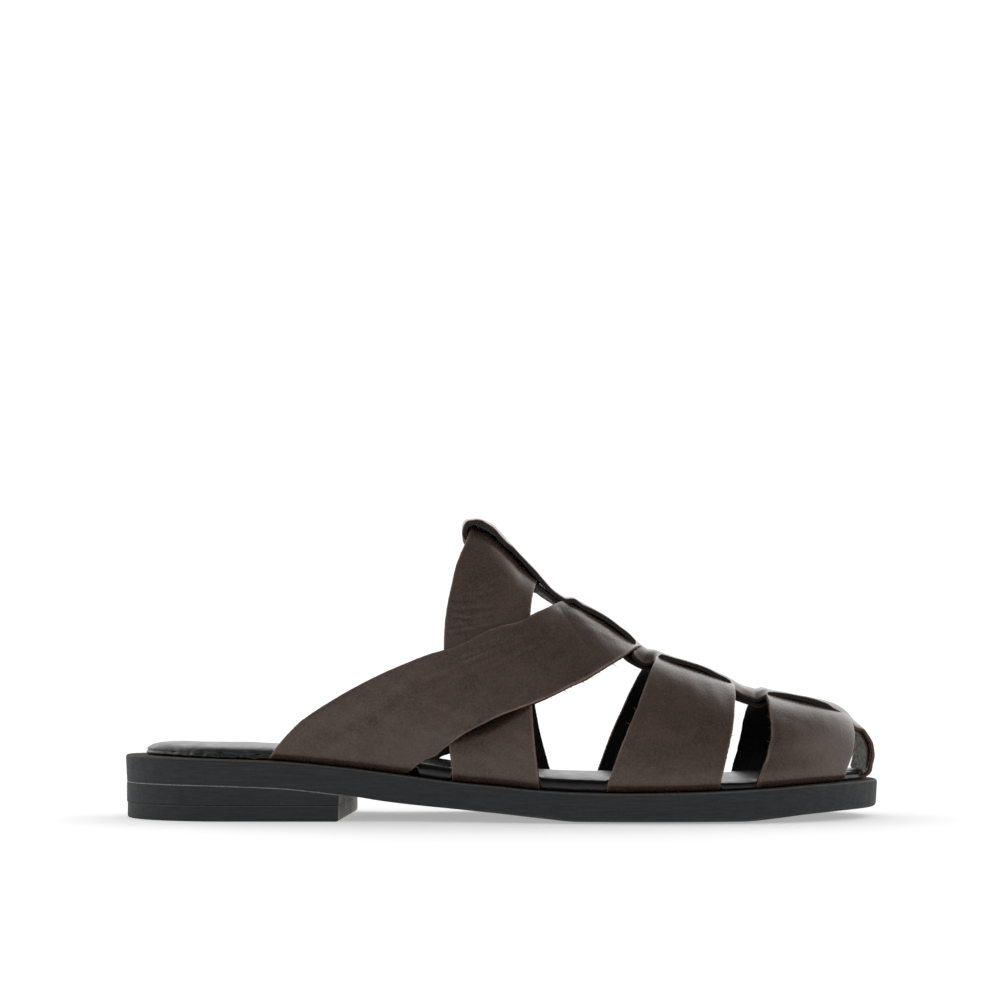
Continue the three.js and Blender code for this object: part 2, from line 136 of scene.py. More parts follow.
# Their rear and front edges along the foot, from the sole's edge (turn 0) up to the ridge (turn 90), and how
# many degrees the front edge is ahead of the rear one
STRAP_EDGES = tables("turn skew rear front", {
    "instep": [
        [0, 0, -16.4, 11.9], [14, 0, -18.6, 10.2], [29.5, 1, -19.4, 9.1], [51.5, 5, -16.8, 8.4],
        [71.5, 3, -12.8, 9.6], [90, 0, -11.6, 11.4],
    ],
    "diagonal": [
        [0, 0, -75.3, -28.2], [1.5, 0, -73.4, -25.2], [2.5, 0, -72, -22], [4.2, 0, -69.5, -19.5],
        [6.3, 0, -66, -16], [9, -0.9, -59.2, -12.4], [14, -3, -45.1, -4.4], [25.5, -6, -16.2, 11.7],
        [33, -7, -4.2, 20.2], [42, -7.5, 5.2, 28.7], [63.5, -7, 16.1, 40.1], [90, 0, 23.5, 47.5],
    ],
    "vamp": [
        [0, 0, 34.3, 70.5], [16, -2, 39.4, 72.8], [38, -0.5, 45.1, 75.7], [68, 0, 50.2, 77.8],
        [90, 0, 52.6, 78.6],
    ],
    "toe": [
        [0, 0, 83.1, 113.7], [15.5, -3, 86.4, 115.5], [37.5, 5, 88.5, 117.2], [63.5, 3, 89.2, 117.4],
        [90, 0, 89.5, 116.8],
    ],
})

# Where straps climb over each other, and how the centre strap rises, bows and rounds
OVER_LINING = {"ends": (12.0, 34.0), "turn": 20.0}
OVER_INSTEP = {"ends": (-34.0, -22.0, 9.0, 36.0), "turn": 8.0}
SPINE_OVER = settings("rise fall bow flare", {
    "instep": ((-30.0, -29.0), (-4.0, 5.0), 0.0, 0.15),
    "diagonal": ((-4.2, -0.8), (-8.0, 1.5), 0.3, 1.2),
    "vamp": ((-4.4, -1.2), (-4.0, 4.5), 0.4, 0.6),
    "toe": ((-3.2, -0.2), (-3.0, 2.5), 0.3, 0.5),
})
FLARE_LEAN = 0.9
THROAT_BOW = table("along rise", [
    [-11.6, 0.9], [-9.5, 1.6], [-7, 1.75], [-4.5, 1.2], [-1, 0.5], [2.6, 0.2], [6, 0.1], [12, 0],
    [130, 0],
])
OUTER_LAYER = 1.5
LINING_STOP = 12.2
LINING_RISE = 0.5
TOE_ROUNDING = {"from": 106.0, "full": 122.0, "radius": 34.0, "twist": 0.14, "inner_share": 0.3}
FOLD = {"setback": 0.9, "swell": 0.3, "end": 62.0}
TOE_TUCK = {"ends": (16.0, 22.0), "rise": 0.8}

# How far the centre strap's edges are lifted off the last: its outer layer's edge and its lining's edge on
# the outer side, and both edges on the inner side
SPINE_EDGES = table("along outer lining inner", [
    [-20, 1.9, 0.5, 0], [-11.6, 2.1, 0.5, 0], [-9.5, 1.7, 0.2, 0], [-8.5, 1.4, 0.1, 0], [-7, 1, 0, 0],
    [-5, 0.7, 0, 0], [-4, 0.55, 0, 0], [-2.5, 0.65, 0, 0], [-1.2, 1, 0, 0], [0, 1.3, 0, 0],
    [3, 1.35, 0, 0], [6, 1.2, 0, 0], [10, 1, 1, 3.4], [14, 1, 1, 3.4], [20, 0.5, 0.5, 3],
    [22.5, -0.2, 0, 1], [25, -0.5, 0, 0], [29, -0.2, 0, 0], [33, 0, 0, 0], [38, 0, 0, 0],
    [41, 0, -3, 0], [42.8, -0.1, -3.6, 0], [43.6, -0.8, -3.8, 0], [44.1, -2.4, -3.9, 0],
    [44.6, -3.6, -3.9, 0], [45.4, -3.9, -3.9, 0], [50.4, -3.9, -3.8, 0], [51.1, -3.4, -3.6, 0],
    [51.7, -1.8, -3.2, 0], [52.3, -0.7, -2.6, 0], [53.5, -0.4, -1.6, 0], [57, -0.2, -0.2, 0],
    [62, 0, 0, 0], [73, 0, 0, 0], [76.5, -0.4, -0.4, 0], [77.6, -1.5, -1.5, 0], [79, -2.2, -2.2, 0],
    [88, -2.5, -2.5, 0], [89, -2.2, -2.2, 0], [90.3, -0.7, -0.7, 0], [94, -0.2, 0, 0], [98, 0, 0, 0],
    [110, 0, 0, 0], [113, -0.8, -0.8, 0], [115.6, -1.25, -1.25, 0], [116.6, -1.4, -1.4, 0.6],
    [117.4, -1.05, -1.05, 1.5], [118.2, -0.5, -0.5, 2.4], [118.9, -0.1, -0.1, 2.6],
    [119.6, 0.2, 0.2, 2], [121, 0, 0, 0.4], [122.6, -0.3, -0.3, 0], [123.8, 0, 0, 0], [130, 0, 0, 0],
])
THROAT_TAPER = {"width": 3.0, "ends": (2.0, 16.0)}
LINING_TAPER = {"width": 2.6, "ends": (114.0, 120.0)}

# The padded insole: its distance from the sole's edge and its thickness, and its side from the bottom up. At
# the heel it is a full pillow, and further forward a wrapped edge, a groove and a flatter pad above it.
INSOLE_INSET = {"side": 5.0, "back": 7.0, "ends": (-118.0, -96.0)}
INSOLE_THICK = table("along thick", [
    [-130, 4.5], [-90, 4.6], [-60, 4.5], [-27, 5.7], [-10, 5.2], [5, 5], [35, 4.8], [60, 3.7],
    [80, 2.9], [100, 3.1], [125, 3.6],
])
PILLOW = {"ends": (-66.0, -40.0), "crown": 0.1, "crowned": (4.0, 22.0)}
INSOLE_SIDE = table("rise pillow wrapped", [
    [0, 0.7, 1], [0.05, 0.2, 0.45], [0.12, -0.05, 0.15], [0.2, -0.1, 0], [0.27, 0.1, 0],
    [0.32, 0.35, 0], [0.38, 0.3, 0.02], [0.44, 0.2, 0.08], [0.5, 0.3, 0.2], [0.56, 0.55, 0.38],
    [0.61, 0.85, 0.75], [0.65, 1.1, 1], [0.69, 1.4, 0.85], [0.73, 1.75, 0.65], [0.78, 2.3, 0.9],
    [0.83, 3, 1.8], [0.88, 4, 3.4], [0.92, 5.2, 6], [0.96, 7.4, 9.5], [0.99, 11.5, 14], [1, 17, 19],
])
POCKET = {"ease": 0.7, "spare": 0.1, "spine_ease": 1.0, "spine_ends": (112.0, 113.0)}

# Gathers in the wrapped edge of the insole round the heel, and the stretches that swell and pucker there
GATHERS = table("along width depth", [
    [-112, 2, 0.2], [-106.5, 1.6, 0.35], [-101, 1.3, 0.5], [-97.5, 1, 0.55], [-94.2, 0.8, 0.8],
    [-91.5, 1.2, 0.5], [-87.5, 0.9, 0.9], [-84.3, 0.8, 0.7], [-81, 1, 1], [-78.5, 0.7, 0.6],
])
GATHERED = {"side": (0.15, 0.5), "swell": 0.5, "ends": (-116.0, -106.0, -78.0, -66.0)}
PUCKERED = {"side": (0.04, 0.15, 0.4, 0.6), "ends": (-119.0, -110.0)}

# Creases: where they lie on a strap's outer side, the slant from the way along the foot, and
# their size. A depth below 0 is a ridge.
CREASES = tables("along height slant length width depth", {
    "instep": [
        [-14.5, 62, 12, 4.5, 0.55, 0.32], [-12, 64.4, 8, 5, 0.5, 0.28], [-14, 66.6, -6, 4, 0.5, 0.3],
        [-9.5, 62.6, 16, 3.6, 0.5, 0.24], [-8, 66.6, 10, 4.2, 0.55, 0.26],
        [-12.5, 69.4, 4, 5, 0.6, 0.26], [-6, 69.6, 14, 3.8, 0.5, 0.2], [-13, 72.4, -4, 3.8, 0.6, 0.2],
        # The last row is the deep trough under the diagonal strap's lower edge; the leather paints shade
        # into it.
        [-8, 74, 10, 4.5, 0.7, 0.18], [-4, 64, 18, 3, 0.5, 0.2], [-4.2, 34.4, 27, 15, 5.2, 2.6],
    ],
    "diagonal": [
        [-22, 47, 34, 13, 1.4, 0.06], [-14, 50, 30, 9, 1, 0.12], [-6, 50.5, 36, 8, 0.9, 0.14],
        [-2, 55, 28, 9, 1, 0.14], [4, 53, 38, 7, 0.8, 0.14], [-9, 54.5, 24, 5, 0.6, 0.16],
        [-5, 57.5, 20, 5, 0.6, 0.16], [1, 58, 22, 4.5, 0.6, 0.14], [10, 60, 30, 10, 1.6, 0.06],
        [-40, 38, 36, 16, 2.4, 0.1], [-52, 27, 20, 14, 3, -0.12],
    ],
    "vamp": [
        [50, 39, 60, 7, 1.8, 0.14], [58, 36, 66, 9, 1.6, 0.12], [64, 31, 72, 7, 1.5, 0.12],
        [54, 26, 4, 14, 2.6, 0.18],
    ],
    "toe": [
        [101, 29.5, -4, 13, 2.8, 0.08], [98, 24, 2, 11, 2.8, -0.06],
    ],
})
CREASE_BOW = 0.6
CREASE_REACH = 3

# Slow and fine unevenness: its depth, the length of its bumps and what its seed adds to the piece's own
RIPPLES = {
    "sole_side": (0.06, 7, 3),
    "heel_side": (0.05, 9, 5),
    "insole_top": (0.08, 17, 11),
    "insole_side": (0.06, 5, 12),
    "pucker_out": (0.28, 4.2, 13),
    "pucker_up": (0.16, 3.1, 14),
    "edge_wander": (0.05, 14, 0),
    "edge_fray": (0.035, 1.1, 7),
    "strap_sag": (0.14, 24, 20),
    "strap_bumps": (0.05, 7, 21),
    "raw_side": (0.05, 1.6, 30),
    "spine_sag": (0.1, 15, 20),
    "spine_bumps": (0.05, 5, 21),
}


# Tables and small curves


def look(rows, column, at):
    """A smooth value between a table's rows that never overshoots them."""
    keys = next(iter(rows.values()))
    values = rows[column]
    at = np.clip(np.asarray(at, float), keys[0], keys[-1])
    step = np.diff(keys)
    secant = np.diff(values) / step
    product = secant[:-1] * secant[1:]
    total = np.where(product > 0, secant[:-1] + secant[1:], 1)
    inner = np.where(product > 0, 2 * product / total, 0)
    slope = np.concatenate([secant[:1], inner, secant[-1:]])
    k = np.clip(np.searchsorted(keys, at, side="right") - 1, 0, len(keys) - 2)
    t = (at - keys[k]) / step[k]
    back = 1 - t
    heights = values[k] * (1 + 2 * t) * back**2 + values[k + 1] * t**2 * (1 + 2 * back)
    return heights + step[k] * t * back * (slope[k] * back - slope[k + 1] * t)


def ramp(start, end, at):
    """0 up to start, 1 past end, and a soft step between them."""
    t = np.clip((at - start) / (end - start), 0, 1)
    return t * t * (3 - 2 * t)


def fall(start, end, at):
    return 1 - ramp(start, end, at)


def band(start, full, until, end, at):
    """0 up to start, 1 between full and until, and 0 past end."""
    return ramp(start, full, at) * fall(until, end, at)


def unit(vectors):
    return vectors / np.linalg.norm(vectors, axis=-1, keepdims=True)


def full_turn(count):
    return np.linspace(0, math.tau, count, endpoint=False)


def waves(points, length, seed, count=10):
    """Smooth noise of about one over the points, with bumps of about that length."""
    draw = np.random.default_rng(seed)
    ways = unit(draw.normal(size=(count, points.shape[-1])))
    ways *= draw.uniform(0.6, 1.6, (count, 1)) * math.tau / length
    turns = points @ ways.T + draw.uniform(0, math.tau, count)
    return np.sin(turns).sum(axis=-1) / math.sqrt(count)


def ripple(points, name, seed=0):
    depth, length, own_seed = RIPPLES[name]
    return depth * waves(points, length, seed + own_seed)


# The sole's outline


def round_end(distance, length, power):
    left = 1 - np.clip(distance / length, 0, 1)
    return (1 - left**power) ** (1 / power)


def outline(angle):
    """A point of the outline: angle 0 at the heel's back, half a turn at the toe, outer side first."""
    along = -TOE_END * np.cos(angle)
    ends = round_end(along + TOE_END, **HEEL_ROUND) * round_end(TOE_END - along, **TOE_ROUND)
    half = np.where(np.sin(angle) >= 0, -look(SOLE, "outer", along), look(SOLE, "inner", along))
    return np.stack([along, look(SOLE, "axis", along) + half * ends], -1)


def ring(angles, inset, height, front=TOE_END):
    """One level of a sole piece: the outline drawn in by inset, up to front, at its height."""
    at = outline(angles)
    run = unit(outline(angles + ANGLE_PROBE) - outline(angles - ANGLE_PROBE))
    drawn = inset(at[:, 0]) if callable(inset) else inset
    along = np.minimum(at[:, 0] - run[:, 1] * drawn, front - drawn)
    across = at[:, 1] + run[:, 0] * drawn
    return np.stack([along, across, height(along) + 0 * along], -1)


def sole_top(along):
    return look(SOLE, "top", along)


def sole_bottom(along):
    return look(SOLE, "bottom", along)


# The last that the straps are pulled over


def feather_line(side):
    angles = np.linspace(0, math.pi, FEATHER_POINTS) * side
    line = ring(angles, LEDGE + STRAP, sole_top)
    return np.maximum.accumulate(line[:, 0]), line[:, 1]


FEATHERS = [feather_line(1), feather_line(-1)]


def feather(outer, along):
    """How far across the straps start, on the outer side or else on the inner one."""
    return np.where(outer, *[np.interp(along, *line) for line in FEATHERS])


def ridge(along):
    return look(SOLE, "axis", along) + RIDGE_SHIFT


def crown(along):
    return look(CROWN, "height", along)


def seat(along):
    return sole_top(along) + GAP + STRAP + BEND


def last(along, turn):
    """Points of the last: turn 0 at the outer edge of the sole, 90 on the ridge, 180 at the inner edge.
    Below 0 and past 180 come 90 degrees of bend under the foot, and then millimetres of flat margin."""
    outer = turn <= 90
    angle = np.where(outer, turn, 180 - turn)
    up = np.radians(np.maximum(angle, 0))
    bend = np.radians(np.clip(-angle, 0, 90))
    flat = np.maximum(-angle - 90, 0)
    edge = feather(outer, along)
    tucked = np.where(outer, 1, -1) * (BEND * (1 - np.cos(bend)) + flat)
    across = edge + (ridge(along) - edge) * (1 - np.cos(up)) + tucked
    height = seat(along) + (crown(along) - seat(along)) * np.sin(up) - BEND * np.sin(bend)
    return np.stack([along, across, height], -1)


def last_ways(along, turn):
    """The way forward, the way round and the way out of the last."""
    forward = unit(last(along + PROBE, turn) - last(along - PROBE, turn))
    around = unit(last(along, turn + PROBE) - last(along, turn - PROBE))
    return forward, around, unit(np.cross(forward, around))


# Meshes


def loop_faces(rows, count, ends=True):
    """Quads between closed rows of points, and a face over each end."""
    k = np.arange(count)
    after = (k + 1) % count
    row = np.arange(rows - 1)[:, None] * count
    quads = np.stack([row + k, row + after, row + count + after, row + count + k], -1)
    faces = quads.reshape(-1, 4).tolist()
    if ends:
        faces.append(k[::-1].tolist())
        faces.append(((rows - 1) * count + k).tolist())
    return faces


def strips_across(count, start, up):
    """Faces across a ring of the whole outline, from its outer to its inner side."""
    half = count // 2
    k = np.arange(1, half - 1)
    quads = np.stack([k, k + 1, count - k - 1, count - k], -1).tolist()
    faces = [[0, 1, count - 1], *quads, [half - 1, half, half + 1]]
    return [[start + i for i in (face if up else face[::-1])] for face in faces]


def sole_faces(rows, count):
    """Faces of a closed piece made of rings of the whole outline: its side, its bottom and its top."""
    side = loop_faces(rows, count, ends=False)
    return side + strips_across(count, 0, False) + strips_across(count, (rows - 1) * count, True)


def new_object(name, data):
    thing = bpy.data.objects.new(name, data)
    bpy.context.collection.objects.link(thing)
    return thing


def add_piece(name, points, faces, materials, zones=None, sharp=50, **values):
    """A mesh piece on the shoe's body, with a value for each point under each name given."""
    mesh = bpy.data.meshes.new(name)
    mesh.from_pydata((points.reshape(-1, 3) * MM).tolist(), [], faces)
    for material in materials:
        mesh.materials.append(material.owner)
    if zones is not None:
        mesh.polygons.foreach_set("material_index", np.asarray(zones, np.int32))
    for key, numbers in values.items():
        layer = mesh.attributes.new(key, "FLOAT", "POINT")
        layer.data.foreach_set("value", np.asarray(numbers, np.float32).ravel())
    mesh.shade_smooth()
    mesh.set_sharp_from_angle(angle=math.radians(sharp))
    piece = new_object(name, mesh)
    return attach(piece, BODY)


# Materials


def linear(red, green, blue):
    """A display colour of 0 to 255 as the linear one that shaders take."""
    parts = [c / 255 for c in (red, green, blue)]
    return (*[((c + 0.055) / 1.055) ** 2.4 if c > 0.04045 else c / 12.92 for c in parts], 1.0)


class Nodes:
    """The node tree of a material or a world, with its main shader and short ways to add to it."""

    def __init__(self, owner, place, main, **sockets):
        owner.use_nodes = True
        self.owner = owner
        self.tree = owner.node_tree
        self.main = self.tree.nodes[main]
        self.place = self.add("TexCoord").outputs[place]
        self.set(**sockets)

    def feed(self, socket, value):
        """Links another node's output to a socket, or gives the socket a value of its own."""
        if isinstance(value, bpy.types.NodeSocket):
            self.tree.links.new(value, socket)
        else:
            socket.default_value = value

    def set(self, **sockets):
        """Feeds sockets of the main shader, named with an underscore for each space."""
        for key, value in sockets.items():
            self.feed(self.main.inputs[key.replace("_", " ")], value)

    def add(self, kind, inputs=None, **settings):
        node = self.tree.nodes.new("ShaderNode" + kind)
        for key, value in settings.items():
            setattr(node, key, value)
        for socket, value in (inputs or {}).items():
            self.feed(node.inputs[socket], value)
        return node

    def noise(self, size, detail=3.0, rough=0.55, place=None):
        """Noise from 0 to 1 with features of about that size in metres."""
        inputs = {"Vector": place or self.place, "Scale": 1 / size, "Detail": detail, "Roughness": rough}
        return self.add("TexNoise", inputs).outputs["Fac"]

    def cells(self, size):
        """Distance from the middle of each of many round cells."""
        return self.add("TexVoronoi", {"Vector": self.place, "Scale": 1 / size}).outputs["Distance"]

    def axis(self, name):
        return self.add("SeparateXYZ", {"Vector": self.place}).outputs[name]

    def value(self, name):
        """The value of that name at each point of the mesh."""
        return self.add("Attribute", attribute_name=name).outputs["Fac"]

    def sums(self, kind, first, second):
        return self.add("Math", {0: first, 1: second}, operation=kind).outputs[0]

    def spread(self, value, low, high, to_low=0.0, to_high=1.0):
        inputs = {"Value": value, "From Min": low, "From Max": high, "To Min": to_low, "To Max": to_high}
        return self.add("MapRange", inputs).outputs["Result"]

    def mix(self, factor, *colours):
        """A mix of two colours, each another node's output or a display colour."""
        first, second = (linear(*c) if isinstance(c, tuple) else c for c in colours)
        return self.add("Mix", {0: factor, 6: first, 7: second}, data_type="RGBA").outputs[2]

    def blend(self, value, low, high, first, second, most=1.0):
        """The first colour where the value is low, and as much as most of the second where it is high."""
        return self.mix(self.spread(value, low, high, 0.0, most), first, second)

    def bump(self, *layers):
        """Bump layers on the main shader, each a height and how deep it is in metres."""
        inputs = {"Strength": 1.0}
        for height, depth in layers:
            inputs.update(Height=height, Distance=depth)
            inputs["Normal"] = self.add("Bump", inputs).outputs["Normal"]
        self.set(Normal=inputs["Normal"])


def new_material(name, gloss, **sockets):
    """A material with one shader of that specular level, on the shoe's own coordinates."""
    sockets["Specular_IOR_Level"] = gloss
    return Nodes(bpy.data.materials.new(name), "Object", "Principled BSDF", **sockets)


def leather():
    """Dark brown smooth leather: clouded and flecked, paler towards its edges with wear and a painted
    highlight, darker with painted shade in the deep trough under the diagonal strap's edge, and with fine
    pores and faint veins."""
    paint = new_material("brown_leather", 0.5, Specular_Tint=(1, 0.92, 0.87, 1))
    clouded = paint.blend(paint.noise(0.016, 4.0), 0.34, 0.68, (43, 33, 29), (62, 46, 39))
    mottled = paint.blend(paint.noise(0.0045, 3.0, 0.6), 0.35, 0.7, clouded, (72, 55, 48), 0.45)
    flecked = paint.blend(paint.noise(0.0007, 2.0, 0.65), 0.38, 0.7, mottled, (86, 68, 60), 0.65)
    edge = paint.value("edge")
    # Paler within about a millimetre of the cut edges: part wear, part painted highlight on the rounded
    # grain edge.
    worn_and_highlit = paint.blend(edge, 0.55, 1.0, flecked, (98, 80, 70), 0.4)
    patchy = paint.spread(paint.noise(0.006), 0.38, 0.66, 0, 0.75)
    rim = paint.sums("MULTIPLY", paint.spread(edge, 0.88, 0.97), patchy)
    rimmed = paint.mix(rim, worn_and_highlit, (122, 104, 95))
    # Painted shade: where a strap is pressed in deeper than 0.7 mm, which happens only in the trough under
    # the diagonal strap's lower edge, the colour is darkened towards near black.
    paint.set(Base_Color=paint.blend(paint.value("crease"), 0.7, 2.4, rimmed, (20, 15, 13), 0.85))
    paint.set(Roughness=paint.spread(paint.noise(0.007), 0.3, 0.7, 0.22, 0.3))
    veins = paint.noise(0.0022, 5.0, 0.65)
    pores = paint.cells(0.0009)
    paint.bump((veins, 0.00005), (pores, 0.000025))
    return paint


def raw_edge():
    """The cut side of a strap: black lining below, then fibrous tan leather up to the dyed face."""
    paint = new_material("raw_edge", 0.15, Roughness=0.9)
    fibres = paint.noise(0.0006, 4.0, 0.7)
    level = paint.sums("ADD", paint.value("level"), paint.spread(fibres, 0.2, 0.8, -0.12, 0.12))
    tan = paint.blend(fibres, 0.35, 0.65, (88, 67, 56), (150, 122, 106))
    lined = paint.blend(level, 0.34, 0.46, (14, 13, 13), tan)
    paint.set(Base_Color=paint.blend(level, 0.84, 0.96, lined, (62, 50, 44)))
    paint.bump((fibres, 0.0003))
    return paint


def dyed_edge():
    """The dyed side of the centre strap: charcoal, with a rust line by the face that widens at the toe."""
    paint = new_material("dyed_edge", 0.25, Roughness=0.7)
    fibres = paint.noise(0.0008, 4.0, 0.7)
    level = paint.sums("ADD", paint.value("level"), paint.spread(fibres, 0.2, 0.8, -0.06, 0.06))
    level = paint.sums("ADD", level, paint.spread(paint.axis("X"), 0.112, 0.119, 0, 0.4))
    dark = paint.mix(fibres, (18, 16, 16), (44, 40, 38))
    paint.set(Base_Color=paint.blend(level, 0.74, 0.84, dark, (104, 72, 57)))
    paint.bump((fibres, 0.0002))
    return paint


def lining():
    """Black lining leather inside the straps; at the toe it is painted grey to pale, a painted reflection of
    light on its crinkles.
    """
    paint = new_material("black_lining", 0.3, Roughness=0.55)
    black = paint.mix(paint.noise(0.009), (8, 8, 8), (22, 21, 21))
    crinkle = paint.noise(0.0018, 5.0, 0.7)
    # Painted highlight: inside the toe loop the black lining is painted grey, and paler still on the
    # crinkles.
    grey = paint.blend(crinkle, 0.35, 0.7, (104, 101, 95), (216, 211, 200))
    paint.set(Base_Color=paint.blend(paint.axis("X"), 0.112, 0.117, black, grey))
    paint.bump((crinkle, 0.0003), (paint.cells(0.0007), 0.00008))
    return paint


def pad_leather():
    """Soft black leather over the insole's foam."""
    paint = new_material("pad_leather", 0.5)
    paint.set(Base_Color=paint.mix(paint.noise(0.02), (12, 12, 13), (24, 24, 25)))
    paint.set(Roughness=paint.spread(paint.noise(0.005), 0.3, 0.7, 0.3, 0.42))
    paint.bump((paint.noise(0.0025, 5.0, 0.6), 0.00012), (paint.cells(0.0008), 0.00004))
    return paint


def rubber():
    """Charcoal rubber with faint streaks along its sides and specks, and a painted highlight: a paler line
    along the upper edges of the heel layers and of the sole's rim.
    """
    paint = new_material("charcoal_rubber", 0.2)
    stretch = paint.add("Mapping", {"Vector": paint.place, "Scale": (0.12, 0.5, 2.0)}).outputs["Vector"]
    streaks = paint.noise(0.0012, 4.0, 0.6, stretch)
    specks = paint.noise(0.0012, 2.0)
    plain = paint.blend(streaks, 0.3, 0.7, (39, 40, 42), (51, 52, 53))
    dotted = paint.blend(specks, 0.68, 0.78, plain, (84, 84, 84), 0.5)
    # Painted highlight along broken upper edges, as strong as each point's painted highlight value.
    seam = paint.sums("MULTIPLY", paint.value("seam"), paint.spread(specks, 0.3, 0.6, 0.55, 1.0))
    paint.set(Base_Color=paint.mix(seam, dotted, (140, 140, 142)))
    paint.set(Roughness=paint.spread(specks, 0.3, 0.7, 0.55, 0.72))
    paint.bump((streaks, 0.00012), (specks, 0.00012))
    return paint


def cut_and_lit_rubber():
    """The rough cut front of the heel, painted much paler than the moulded sides: part its rough cut face,
    part painted light where light from the right falls on it.
    """
    paint = new_material("cut_and_lit_rubber", 0.3, Roughness=0.8)
    cloud = paint.noise(0.004, 4.0)
    paint.set(Base_Color=paint.blend(cloud, 0.3, 0.7, (108, 105, 100), (160, 157, 150)))
    paint.bump((cloud, 0.0006), (paint.noise(0.0009), 0.0004))
    return paint


def buffed_and_lit_rubber():
    """The sole's upper face: rough and speckled, and paler grey-brown than the sides, part buffed finish and
    part painted highlight where light falls on it.
    """
    paint = new_material("buffed_and_lit_rubber", 0.2, Roughness=0.85)
    grit = paint.noise(0.0007, 3.0, 0.7)
    paint.set(Base_Color=paint.blend(grit, 0.3, 0.75, (54, 51, 48), (104, 97, 90)))
    paint.bump((grit, 0.0004))
    return paint


def fibre():
    """Loose leather fibres at the cut edges."""
    paint = new_material("leather_fibre", 0.1, Roughness=0.9)
    paint.set(Base_Color=paint.mix(paint.noise(0.004), (62, 46, 37), (128, 102, 86)))
    return paint


GRAIN = leather()
RAW = raw_edge()
DYED = dyed_edge()
LINED = lining()
PAD = pad_leather()
RUBBER = rubber()
CUT_AND_LIT_RUBBER = cut_and_lit_rubber()
BUFFED_AND_LIT = buffed_and_lit_rubber()
FIBRE = fibre()


# Sole and heel

SOLE_POINTS = 720
LOWER_EDGE_TURNS = (0, 18, 36, 54, 72, 90)
SIDE_STRIPS = 5
RIM_TURNS = (0, 22, 45, 67, 90)
RIM_GLOW = 0.3
BUFFED_AND_LIT_TO = -76.0
HEEL_POINTS = 420
HEEL_GAP = 0.03
HEEL_EDGE = 0.32
BREAST_SKEW = {"forward": 1.8, "length": 8.0, "half_width": 30.0}


def quarter(degrees):
    """The two ways of a quarter round at a turn: one falls from 1 to 0, the other rises from 0 to 1."""
    turn = math.radians(degrees)
    return 1 - math.sin(turn), 1 - math.cos(turn)


def add_sole():
    """The outsole: a belly below, a rounded lower edge, a plain side and a rounded upper rim."""
    angles = full_turn(SOLE_POINTS)

    def rounding(along):
        return look(SOLE, "round", along)

    def rim(along, share=1.0):
        return sole_bottom(along) + share * look(SOLE, "belly", along)

    rings = [
        ring(angles, BELLY["flat"], sole_bottom),
        ring(angles, BELLY["middle"], lambda x: rim(x, BELLY["share"])),
    ]
    for degrees in LOWER_EDGE_TURNS:
        out, rise = quarter(degrees)
        rings.append(
            ring(angles, lambda x: SOLE_TAPER + rounding(x) * out, lambda x: rim(x) + rounding(x) * rise)
        )
    for share in np.linspace(0, 1, SIDE_STRIPS + 1)[1:-1]:

        def side(along):
            return (rim(along) + rounding(along)) * (1 - share) + (sole_top(along) - SOLE_RIM) * share

        rings.append(ring(angles, SOLE_TAPER * (1 - share), side))
    for degrees in RIM_TURNS:
        below, inset = quarter(degrees)
        rings.append(ring(angles, SOLE_RIM * inset, lambda x: sole_top(x) - SOLE_RIM * below))
    points = np.stack(rings)
    points[2:, :, 1] += ripple(points[2:], "sole_side")
    faces = sole_faces(len(rings), SOLE_POINTS)
    # The two upper rings of the sole's rim get a faint painted highlight.
    seam = np.zeros(points.shape[:2])
    seam[-3:-1] = RIM_GLOW
    zones = np.zeros(len(faces), int)
    # The upper face and, towards the heel, the rim's upper rounding take the paler upper-face material,
    # partly a painted highlight.
    zones[-(SOLE_POINTS // 2) :] = 1
    heel = np.where(points[-3:-1, :, 0] < BUFFED_AND_LIT_TO, 1, 0)
    zones[(len(rings) - 3) * SOLE_POINTS : (len(rings) - 1) * SOLE_POINTS] = heel.ravel()
    piece = add_piece("outsole_rubber", points, faces, [RUBBER, BUFFED_AND_LIT], zones, seam=seam)
    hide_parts("outsole")


def add_heel_layer(name, node, low, high, inset, corner, glow):
    """A layer of the heel; its broken upper edge carries a thin painted highlight line."""
    end = math.acos(-HEEL_BREAST / TOE_END)
    angles = np.linspace(-end, end, HEEL_POINTS)
    edge = HEEL_EDGE
    # How far each level is drawn in, its share of the height, its shift from there and whether it gets the
    # painted highlight
    profile = [
        (corner, 0, 0, 0),
        (corner * 0.3, 0, corner * 0.3, 0),
        (0, 0, corner, 0),
        (0, 0.35, 0, 0),
        (0, 0.7, 0, 0),
        (0, 1, -edge - 0.12, 0),
        (0, 1, -edge, 1),
        (edge * 0.35, 1, -edge * 0.35, 1),
        (edge, 1, 0, 1),
    ]
    rings = []
    for drawn, share, shift, _ in profile:

        def height(along):
            return low(along) * (1 - share) + high(along) * share + shift

        rings.append(ring(angles, inset + drawn, height, HEEL_BREAST))
    points = np.stack(rings)
    points[..., 1] += ripple(points, "heel_side")
    skew = BREAST_SKEW
    front = ramp(HEEL_BREAST - skew["length"], HEEL_BREAST - inset, points[..., 0])
    turned = front * ramp(-skew["half_width"], skew["half_width"], points[..., 1])
    points[..., 0] += skew["forward"] * turned
    faces = loop_faces(len(rings), HEEL_POINTS)
    seam = np.array([row[3] for row in profile])[:, None] * np.full(HEEL_POINTS, glow)
    zones = np.zeros(len(faces), int)
    # The front faces take the paler cut face, partly painted light.
    zones[HEEL_POINTS - 1 : -2 : HEEL_POINTS] = 1
    piece = add_piece(name, points, faces, [RUBBER, CUT_AND_LIT_RUBBER], zones, seam=seam)
    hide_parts(node)


